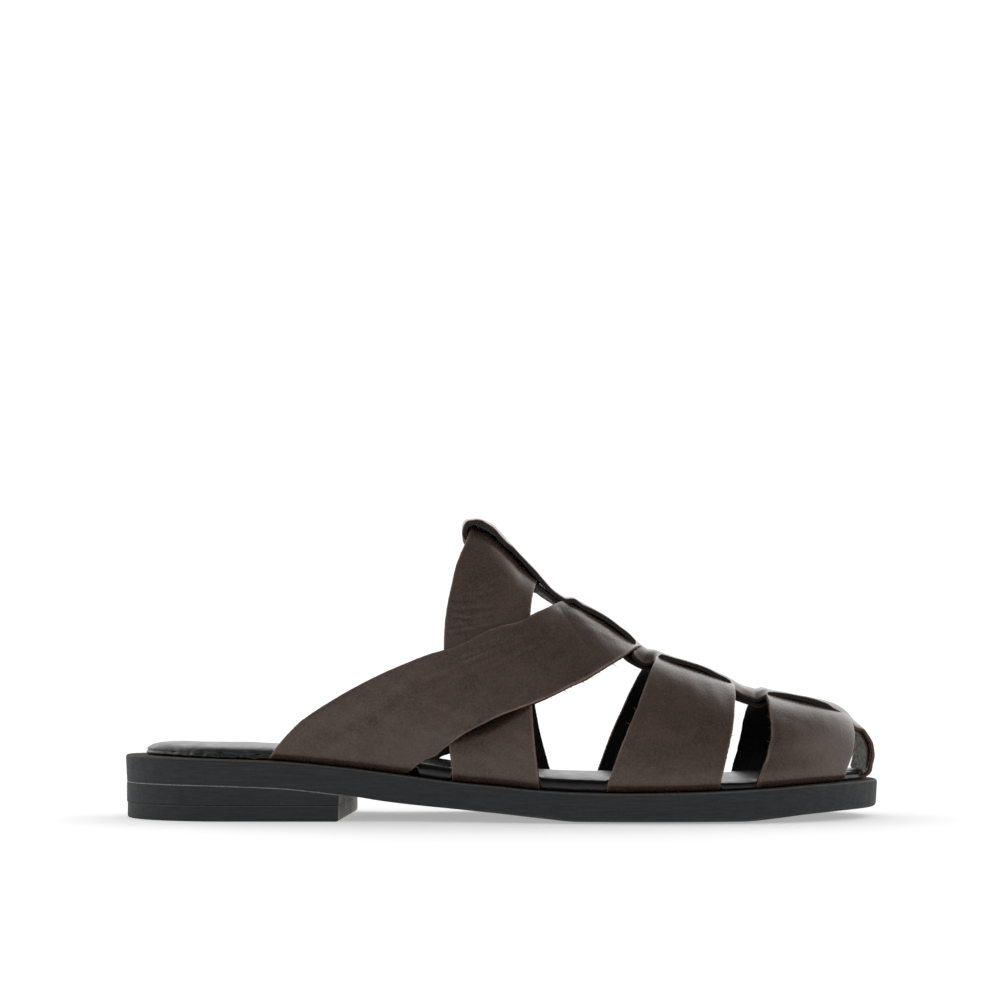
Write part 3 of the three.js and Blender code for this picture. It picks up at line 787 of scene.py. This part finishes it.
add_sole()
LIFT = {"low": lambda x: HEEL_SEAM + HEEL_GAP, "high": lambda x: sole_bottom(x) - HEEL_GAP}
TOP_PIECE = {"low": lambda x: 0, "high": lambda x: HEEL_SEAM - HEEL_GAP}
add_heel_layer("heel_lift_rubber", "heel_lift", **LIFT, inset=0.35, corner=0.12, glow=1.0)
add_heel_layer("heel_top_rubber", "heel_top_piece", **TOP_PIECE, inset=0.6, corner=0.7, glow=0.2)


# Insole

INSOLE_POINTS = 1400
INSOLE_SHARP = 70


def insole_lift(along, across):
    """1 where straps turn in under the insole's lower edge, else 0."""
    off = across - ridge(along)
    half = SPINE_WIDTH / 2
    middle = fall(half, half + POCKET["spine_ease"], np.abs(off))
    lift = middle * ramp(*POCKET["spine_ends"], along)
    ease = POCKET["ease"]
    for name, rows in STRAP_EDGES.items():
        for inner in (False, True):
            rear, front = (rows[edge][0] + inner * STRAPS[name]["shift"] for edge in ("rear", "front"))
            over = band(rear - ease, rear, front, front + ease, along)
            lift = np.maximum(lift, np.where((off > 0) == inner, over, 0))
    return lift


def insole_edge(along):
    rule = INSOLE_INSET
    return rule["side"] + (rule["back"] - rule["side"]) * fall(*rule["ends"], along)


def pillowed(along):
    """1 on the pillow at the heel, 0 where the edge is wrapped."""
    return fall(*PILLOW["ends"], along)


def gather(along):
    """How deep the wrapped edge is pinched round the heel, less how far it swells between the pinches."""
    rows = zip(*GATHERS.values())
    pinch = sum(depth * np.exp(-(((along - at) / width) ** 2)) for at, width, depth in rows)
    return pinch - GATHERED["swell"] * band(*GATHERED["ends"], along)


def add_insole():
    angles = full_turn(INSOLE_POINTS)
    rings = []
    for rise, pillow, wrapped in zip(*INSOLE_SIDE.values()):
        gathered = fall(*GATHERED["side"], rise)

        def inset(along):
            profile = wrapped + (pillow - wrapped) * pillowed(along)
            return insole_edge(along) + profile + gathered * gather(along)

        flat = ring(angles, inset, sole_top)
        along = flat[:, 0]
        thick = look(INSOLE_THICK, "thick", along)
        lift = insole_lift(along, flat[:, 1]) * (STRAP + GAP + POCKET["spare"])
        from_edge = inset(along) - INSOLE_INSET["side"]
        crowned = PILLOW["crown"] * pillowed(along) * ramp(*PILLOW["crowned"], from_edge)
        flat[:, 2] += GAP / 3 + lift + rise * (thick - lift) + crowned
        rings.append(flat)
    points = np.stack(rings)
    rise = INSOLE_SIDE["rise"][:, None]
    points[..., 2] += ripple(points, "insole_top") * rise**4
    points[..., 1] += ripple(points, "insole_side") * (1 - rise**4)
    beside = ramp(*PUCKERED["ends"], points[..., 0]) * pillowed(points[..., 0])
    puckered = band(*PUCKERED["side"], rise) * beside
    points[..., 1] += puckered * ripple(points, "pucker_out") * np.sign(points[..., 1])
    points[..., 2] += puckered * ripple(points, "pucker_up")
    faces = sole_faces(len(rings), INSOLE_POINTS)
    piece = add_piece("insole_pad", points, faces, [PAD], sharp=INSOLE_SHARP)
    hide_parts("insole")


add_insole()


# Strap sections

ROUND = 0.4
EDGE_ZONE = 2.2
NEAR_EDGE = (0.0, 0.06, 0.16, 0.3, 0.45, 0.8, 1.4)
CUT_LEVELS = (0.8, 0.62, 0.4, 0.2, 0.06)
FACE_LEVEL = 0.7
ZONE_GRAIN, ZONE_RAW, ZONE_LINED = range(3)


def strap_section(across):
    """The closed section of a strap: share of the way across, millimetres added to it, level from the inside
    (0) to the face (1), nearness to an edge, and the zone of the face that starts at each point."""
    rows = []

    def face_point(share, shift, distance, level, zone):
        rows.append((share, shift, level, fall(0, EDGE_ZONE, distance), zone))

    def one_face(level_at, zone):
        for distance in NEAR_EDGE:
            face_point(0, distance, distance, level_at(distance), zone)
        for share in np.linspace(0, 1, across + 1):
            face_point(share, EDGE_ZONE * (1 - 2 * share), EDGE_ZONE, level_at(EDGE_ZONE), zone)
        for distance in reversed(NEAR_EDGE):
            face_point(1, -distance, distance, level_at(distance), zone)

    def rounded(distance):
        left = np.clip(1 - distance / ROUND, 0, 1)
        return 1 - ROUND * (1 - np.sqrt(1 - left**2)) / STRAP * 0.5

    one_face(rounded, ZONE_GRAIN)
    rows[-1] = (*rows[-1][:4], ZONE_RAW)
    for level in CUT_LEVELS:
        face_point(1, 0, 0, level, ZONE_RAW)
    start = len(rows)
    one_face(lambda distance: 0, ZONE_LINED)
    rows[start:] = [(1 - share, -shift, *rest) for share, shift, *rest in rows[start:]]
    rows[-1] = (*rows[-1][:4], ZONE_RAW)
    for level in reversed(CUT_LEVELS):
        face_point(0, 0, 0, level, ZONE_RAW)
    return table("share shift level edge zone", rows)


def add_leather(name, points, section, zones, materials, flip=False, **values):
    """A piece of the upper: rows of the section's points, with a raw face over each end."""
    rows, count = points.shape[:2]
    faces = loop_faces(rows, count)
    if flip:
        faces = [face[::-1] for face in faces]
    for key in ("edge", "level"):
        values[key] = np.tile(section[key], rows)
    zones = np.concatenate([zones.ravel(), [ZONE_RAW, ZONE_RAW]])
    piece = add_piece(name, points, faces, materials, zones, **values)
    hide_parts("upper")


# Cross straps

BENT_TURNS = 9
FOOT_TURNS = {"until": 8, "count": 29}
RELIEF_TURNS = (-40, 8)
EDGE_CALM = 0.8


def climb(name, points, along, turn):
    """How far a strap's inside is off the last: over the lining of the centre strap, and for the diagonal
    strap over the instep strap."""
    low = np.minimum(turn, 180 - turn)
    off = np.abs(points[..., 1] - ridge(along))
    lining_lift = fall(*OVER_LINING["ends"], off) * ramp(0, OVER_LINING["turn"], low)
    lift = lining_lift * (LAYER - BITE)
    if name != "diagonal":
        return lift
    crossing = band(*OVER_INSTEP["ends"], along) * ramp(0, OVER_INSTEP["turn"], low)
    return np.maximum(lift, crossing * (STRAP - BITE))


def strap_place(name, share, shift, turn, stray):
    """Where a section's points lie on the last: along it and the turn round it."""
    rows = STRAP_EDGES[name]
    outer = turn <= 90
    near = np.where(outer, turn, 180 - turn)
    height = np.maximum(near, 0)
    bent = np.clip(-near / 90, 0, 1)

    def follow(column):
        return look(rows, column, height) * (1 + bent) - look(rows, column, FOOT_TURN) * bent

    up = np.radians(height)
    shifted = STRAPS[name]["shift"] * (1 - np.sin(up)) ** 2 + STRAPS[name]["lean"] * np.sin(2 * up)
    moved = np.where(outer, 0, shifted)
    rear = follow("rear")
    width = follow("front") - rear
    whole = share + (shift + stray) / width
    ahead = (whole - 0.5) * look(rows, "skew", height) * np.where(outer, 1, -1)
    return rear + width * whole + moved, turn + ahead


def creases(name, points):
    """How deep the listed creases are at points of a strap."""
    depth = np.zeros(points.shape[:-1])
    for along, height, slant, length, width, deep in zip(*CREASES[name].values()):
        rise = (height - seat(along)) / (crown(along) - seat(along))
        turn = np.degrees(np.arcsin(np.clip(rise, 0, 1)))
        forward, around, _ = last_ways(np.array(along), np.array(turn))
        lean = math.radians(slant)
        run = forward * math.cos(lean) + around * math.sin(lean)
        side = around * math.cos(lean) - forward * math.sin(lean)
        off = points - last(along, turn)
        u = off @ run / length
        v = (off @ side) / width - CREASE_BOW * u * u
        near = np.linalg.norm(off, axis=-1) < CREASE_REACH * length
        depth += np.where(near, deep * np.exp(-v * v - u**4), 0)
    return depth


def ragged_edges(guide, share, near, seed):
    """How far a strap's cut edges stray from their lines, with a fine fray on a slow wander."""
    rear, front = (
        ripple(guide, "edge_wander", seed + end) + ripple(guide, "edge_fray", seed + end) for end in (0, 1)
    )
    return np.where(share < 0.5, rear[:, None], front[:, None]) * near


def strap_turns(steps):
    """The turns that a strap has sections at: its margin, its bend, its foot, and on over the ridge."""
    foot = FOOT_TURNS["until"]
    margin = [-90 - MARGIN, -90 - MARGIN / 2]
    bent = np.linspace(-90, 0, BENT_TURNS)[:-1]
    low = np.concatenate([margin, bent, np.linspace(0, foot, FOOT_TURNS["count"])[:-1]])
    return np.concatenate([low, np.linspace(foot, 180 - foot, steps + 1), 180 - low[::-1]])


def add_strap(name):
    """A leather strap from one margin over the ridge to the other."""
    rule = STRAPS[name]
    seed = rule["seed"]
    section = strap_section(rule["across"])
    turns = strap_turns(rule["steps"])[:, None]
    guide = last(0 * turns, turns)[:, 0]
    share = section["share"][None, :]
    stray = ragged_edges(guide, share, section["edge"], seed)
    along, turn = strap_place(name, share, section["shift"], turns, stray)
    base = last(along, turn)
    out = last_ways(along, turn)[2]
    lift = climb(name, base, along, turn) + section["level"] * STRAP
    face = (section["level"] > FACE_LEVEL) * ramp(*RELIEF_TURNS, np.minimum(turn, 180 - turn))
    relief = rule["relief"] * (ripple(base, "strap_sag", seed) + ripple(base, "strap_bumps", seed))
    # The depth also goes onto the mesh, where the leather paints shade into the deepest trough.
    crease = creases(name, base)
    relief = (face * relief - crease) * (1 - EDGE_CALM * section["edge"])
    rough = ripple(base, "raw_side", seed) * (section["zone"] == ZONE_RAW)
    points = base + out * (lift + relief + rough)[..., None]
    zones = np.tile(section["zone"], len(points) - 1)
    add_leather(f"{name}_strap", points, section, zones, [GRAIN, RAW, LINED], crease=crease)
    return points


# Loose fibres at the cut edges: the strap, whether they are at its front edge, and the rows they start at
FIBRES = [
    ("diagonal", True, (79, 86, 90, 97, 104, 113, 127)),
    ("vamp", False, (60, 71)),
    ("vamp", True, (66,)),
    ("toe", False, (62, 70, 81, 93)),
]
THREAD = {"steps": 6, "radius": 0.15, "taper": 0.7, "rise": 0.2}
THREAD_DRAWS = {"lean": (-0.8, 0.8), "length": (1.1, 2.3), "curl": (-0.6, 0.6)}


def thread_points(root, way, out, length, curl):
    """A thin curled thread with three sides that tapers from its root."""
    along = np.linspace(0, 1, THREAD["steps"])[:, None]
    side = unit(np.cross(way, out))
    bent = way * along + out * THREAD["rise"] * along + side * curl * along**2
    line = root + length * bent
    turns = np.arange(3) * math.tau / 3
    around = np.cos(turns)[:, None] * side + np.sin(turns)[:, None] * out
    return line[:, None] + THREAD["radius"] * (1 - THREAD["taper"] * along[..., None]) * around


def add_fibres(straps, seed):
    """Threads from the middle of the cut edges, with the points of each strap given by its name."""
    draw = np.random.default_rng(seed)
    threads = []
    faces = []
    middle = len(CUT_LEVELS) // 2
    for name, front, row in [(name, front, row) for name, front, rows in FIBRES for row in rows]:
        strap = straps[name]
        cut = len(NEAR_EDGE) * 2 + STRAPS[name]["across"] + 1 + middle
        here = cut if front else strap.shape[1] - 1 - middle
        root = strap[row, here]
        out = unit(strap[row, cut - 3] - strap[row, cut + 3])
        away = unit(root - strap[row].mean(axis=0))
        lean = unit(strap[row + 2, here] - root) * draw.uniform(*THREAD_DRAWS["lean"])
        length = draw.uniform(*THREAD_DRAWS["length"])
        curl = draw.uniform(*THREAD_DRAWS["curl"])
        start = len(threads) * THREAD["steps"] * 3
        threads.append(thread_points(root, unit(away + lean), out, length, curl))
        faces += [[start + i for i in face] for face in loop_faces(THREAD["steps"], 3)]
    piece = add_piece("loose_fibres", np.stack(threads), faces, [FIBRE])
    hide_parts("upper")


add_fibres({name: add_strap(name) for name in STRAPS}, seed=600)


# Centre strap

# The step that its slope is measured over, how finely it is made, and what keeps its layers' frays apart
SPINE_PROBE = 0.4
SPINE_COUNTS = {"ridge": 50, "line": 3000, "lining": 260, "fold": 24, "outer": 400, "across": 40}
LAYER_SPREAD = 9


def spine_line():
    """The line that the centre strap follows, from the throat over the toe to its tucked end, by length."""
    throat = STRAP_EDGES["instep"]["rear"][-1]
    over = np.linspace(throat, CROWN["along"][-1], SPINE_COUNTS["ridge"])
    along = np.concatenate([over, TOE_TURN["along"]])
    height = np.concatenate([crown(over), TOE_TURN["height"]])
    chord = np.concatenate([[0], np.cumsum(np.hypot(np.diff(along), np.diff(height)))])
    line = {"chord": chord, "along": along, "height": height}
    fine = np.linspace(0, chord[-1], SPINE_COUNTS["line"])
    points = np.stack([look(line, "along", fine), look(line, "height", fine)], -1)
    length = np.concatenate([[0], np.cumsum(np.linalg.norm(np.diff(points, axis=0), axis=-1))])
    return length, points


SPINE_AT, SPINE_POINTS = spine_line()
SPINE_LENGTH = SPINE_AT[-1]
SPINE_TOP = LAYER - BITE + STRAP - BITE
LINING_END = SPINE_LENGTH - LINING_STOP


def spine_point(length):
    return np.stack([np.interp(length, SPINE_AT, SPINE_POINTS[:, k]) for k in (0, 1)], -1)


def spine_places(length):
    """Points on the centre strap's line, with the way along it and the way out of the shoe."""
    back = spine_point(np.maximum(length - SPINE_PROBE, 0))
    front = spine_point(np.minimum(length + SPINE_PROBE, SPINE_LENGTH))
    x, z = unit(front - back).T
    pairs = (spine_point(length).T, (x, z), (-z, x))
    return [np.stack([along, 0 * along, up], -1)[:, None] for along, up in pairs]


def over_strap(along):
    """0 where the outer layer dips between cross straps, 1 at a strap's edges, more where it bows; and how
    far its edges flare there."""
    lift = np.zeros_like(along)
    flare = np.zeros_like(along)
    for name, way in SPINE_OVER.items():
        rear, front = STRAP_EDGES[name]["rear"][-1], STRAP_EDGES[name]["front"][-1]
        climbed = ramp(*way["rise"], along - rear) * fall(*way["fall"], along - front)
        share = np.clip((along - rear) / (front - rear), 0, 1)
        bowed = climbed * (1 + way["bow"] * np.sin(math.pi * share) ** 2)
        lift = np.maximum(lift, bowed)
        flare = np.maximum(flare, bowed * way["flare"] * (1 - FLARE_LEAN * share))
    return lift, flare


def spine_section(places, rise, back, lift, reach):
    """Sections across the centre strap, bent as the last is: risen above it and set back along it."""
    point, way, out = places
    end = CROWN["along"][-1]
    x = point[..., 0]
    along = np.minimum(x, end)
    slant = np.maximum(out[..., 2], 0)
    arch = np.where(slant > 0, fall(end, TOE_ROUNDING["full"], x), 0) * (crown(along) - seat(along))
    toe = ramp(TOE_ROUNDING["from"], TOE_ROUNDING["full"], x) * np.maximum(out[..., 0], 0)
    edge = feather(reach < 0, along)
    half = np.abs(edge - ridge(along))
    bending = arch * slant / half**2 + toe / TOE_ROUNDING["radius"]
    off = reach / (1 + rise * bending)
    level = np.sqrt(1 - (off / half) ** 2)
    rounding = toe * off / TOE_ROUNDING["radius"]
    lean = arch * slant * off / (half**2 * level) + rounding
    normal = unit(np.stack([out[..., 0] + 0 * lean, lean, out[..., 2] + 0 * lean], -1))
    drop = np.stack([0 * off, ridge(along) + off, -arch * (1 - level)], -1)
    bent = point + drop - out * (rounding * off / 2)[..., None]
    bent[..., 0] -= TOE_ROUNDING["twist"] * toe * np.where(off < 0, off, off * TOE_ROUNDING["inner_share"])
    return bent + normal * (rise + lift)[..., None] - way * back[..., None]


def outer_rise(length):
    """How far the outer layer is off the last at a length, and how far its edges flare there."""
    along, height = spine_point(length)
    upper = spine_places(np.array([length]))[2][0, 0, 2] > 0
    lifted, flare = over_strap(along) if upper else (0.0, 0.0)
    rise = LAYER + SLIT + (SPINE_TOP - LAYER - SLIT) * lifted + look(THROAT_BOW, "rise", along)
    tucked = fall(*TOE_TUCK["ends"], height)
    return rise + (TOE_TUCK["rise"] - rise) * tucked, flare


def spine_stations():
    """Stations of the folded strip: length on the line, inside and outside rise, set back, flare of the
    edges and half widths."""
    rows = []
    half = SPINE_WIDTH / 2

    def station(length, inside, outside, back_in=0.0, back_out=0.0, flare=0.0, trim=0.0):
        throat = THROAT_TAPER["width"] * fall(*THROAT_TAPER["ends"], length)
        widths = (half - trim, half - max(trim, throat))
        rows.append((length, inside, outside, back_in, back_out, flare, *widths))

    for length in np.linspace(LINING_END, 0, SPINE_COUNTS["lining"]):
        narrowed = ramp(*LINING_TAPER["ends"], spine_point(length)[0])
        inside = min(LAYER, outer_rise(length)[0] - SLIT)
        station(length, inside, LINING_RISE, trim=LINING_TAPER["width"] * narrowed)
    middle = (LAYER + SPINE_TOP) / 2
    setback = FOLD["setback"]
    for degrees in np.linspace(-90, FOLD["end"], SPINE_COUNTS["fold"]):
        up = math.sin(math.radians(degrees))
        back = math.cos(math.radians(degrees))
        radius = middle - LAYER + FOLD["swell"] * back
        far = radius + LAYER + (OUTER_LAYER - LAYER) * (degrees + 90) / 180
        station(0.0, middle + up * radius, middle + up * far, setback + back * radius, setback + back * far)
    for length in np.linspace(0, SPINE_LENGTH, SPINE_COUNTS["outer"]):
        rise, flare = outer_rise(length)
        station(length, rise, rise + OUTER_LAYER, flare=flare)
    return table("length inside outside back_in back_out flare outer inner", rows)


def add_centre_strap(seed):
    """One long strip: the lining layer back to the throat, the fold, and the outer layer to the toe."""
    section = strap_section(SPINE_COUNTS["across"])
    stations = spine_stations()
    column = {key: numbers[:, None] for key, numbers in stations.items()}
    places = spine_places(stations["length"])
    guide = np.stack([stations["length"], stations["outside"] * LAYER_SPREAD, 0 * stations["length"]], -1)
    share = section["share"][None, :]
    spare = np.where(share < 0.5, column["outer"], column["inner"]) * (2 * share - 1)
    reach = spare + section["shift"] + ragged_edges(guide, share, section["edge"], seed)
    along = places[0][..., 0]
    raised = ramp(LINING_RISE, LAYER + OUTER_LAYER, column["outside"])
    beside = look(SPINE_EDGES, "outer", along) * raised + look(SPINE_EDGES, "lining", along) * (1 - raised)
    edges = np.where(reach < 0, beside, look(SPINE_EDGES, "inner", along))
    lift = (column["flare"] + edges * (places[2][..., 2] > 0)) * (2 * reach / SPINE_WIDTH) ** 2
    inside, outside = (
        spine_section(places, column[rise] + 0 * reach, column[back] + 0 * reach, lift, reach)
        for rise, back in (("inside", "back_in"), ("outside", "back_out"))
    )
    relief = ripple(outside, "spine_sag", seed) + ripple(outside, "spine_bumps", seed)
    relief *= section["level"] > FACE_LEVEL
    level = section["level"][None, :, None]
    points = inside * (1 - level) + outside * level + unit(outside - inside) * relief[..., None]
    zones = np.tile(section["zone"], (len(points) - 1, 1))
    below = stations["outside"][:-1] == LINING_RISE
    zones[below] = np.where(zones[below] == ZONE_GRAIN, ZONE_LINED, zones[below])
    add_leather("centre_strap", points, section, zones, [GRAIN, DYED, LINED], flip=True)


add_centre_strap(seed=500)


# Floor, light and camera

FLOOR = {"radius": 12.0, "corners": 96, "glow": 0.36, "clouds": 0.5, "whites": (0.99, 1.0)}
CAMERA = {"along": -0.9, "away": -650.0, "height": 41.7}
FOCAL_SHARE = 1.882
HORIZON_SHIFT = 0.195

# The studio's strengths of light, and the ways away and up between which one passes into the next
STUDIO = {"wall": 1.1, "upper_wall": 2.0, "side": 1.2, "front": 0.45, "ceiling": 0.25}
STUDIO_WAYS = {"behind": (0.2, 0.5), "beside": (-0.5, -0.1)}
STUDIO_HEIGHTS = {"front": (0.06, 0.2), "upper_wall": (0.1, 0.4), "ceiling": (0.62, 0.82)}


def add_floor():
    mesh = bpy.data.meshes.new("floor")
    angles = full_turn(FLOOR["corners"])
    corners = np.stack([np.cos(angles), np.sin(angles), 0 * angles], -1) * FLOOR["radius"]
    mesh.from_pydata(corners.tolist(), [], [list(range(len(corners)))])
    paint = new_material("floor_white", 0.0, Roughness=1.0)
    paint.set(Base_Color=paint.spread(paint.noise(FLOOR["clouds"]), 0, 1, *FLOOR["whites"]))
    paint.set(Emission_Color=(1, 1, 1, 1), Emission_Strength=FLOOR["glow"])
    mesh.materials.append(paint.owner)
    floor = new_object("floor", mesh)


def add_world():
    """A studio: a white low wall all round, bright above it behind the shoe and dimmer at the sides and in
    front, and a dark ceiling."""
    world = bpy.data.worlds.new("studio")
    sky = Nodes(world, "Generated", "Background", Color=(1, 1, 1, 1))
    away = sky.axis("Y")
    up = sky.axis("Z")
    front = sky.spread(up, *STUDIO_HEIGHTS["front"], STUDIO["wall"], STUDIO["front"])
    beside = sky.spread(away, *STUDIO_WAYS["beside"], front, STUDIO["side"])
    wall = sky.spread(up, *STUDIO_HEIGHTS["upper_wall"], STUDIO["wall"], STUDIO["upper_wall"])
    around = sky.spread(sky.spread(away, *STUDIO_WAYS["behind"]), 0, 1, beside, wall)
    overhead = sky.spread(up, *STUDIO_HEIGHTS["ceiling"])
    sky.set(Strength=sky.spread(overhead, 0, 1, around, STUDIO["ceiling"]))
    bpy.context.scene.world = world


def add_camera():
    lens = bpy.data.cameras.new("camera")
    lens.sensor_width = 36.0
    lens.lens = FOCAL_SHARE * lens.sensor_width
    lens.shift_y = HORIZON_SHIFT
    lens.clip_start = 0.01
    camera = new_object("camera", lens)
    camera.location = [CAMERA[key] * MM for key in ("along", "away", "height")]
    camera.rotation_euler = (math.pi / 2, 0, 0)
    bpy.context.scene.camera = camera


add_floor()
add_world()
add_camera()
bpy.context.scene.view_settings.view_transform = "Standard"

bpy.context.view_layer.update()
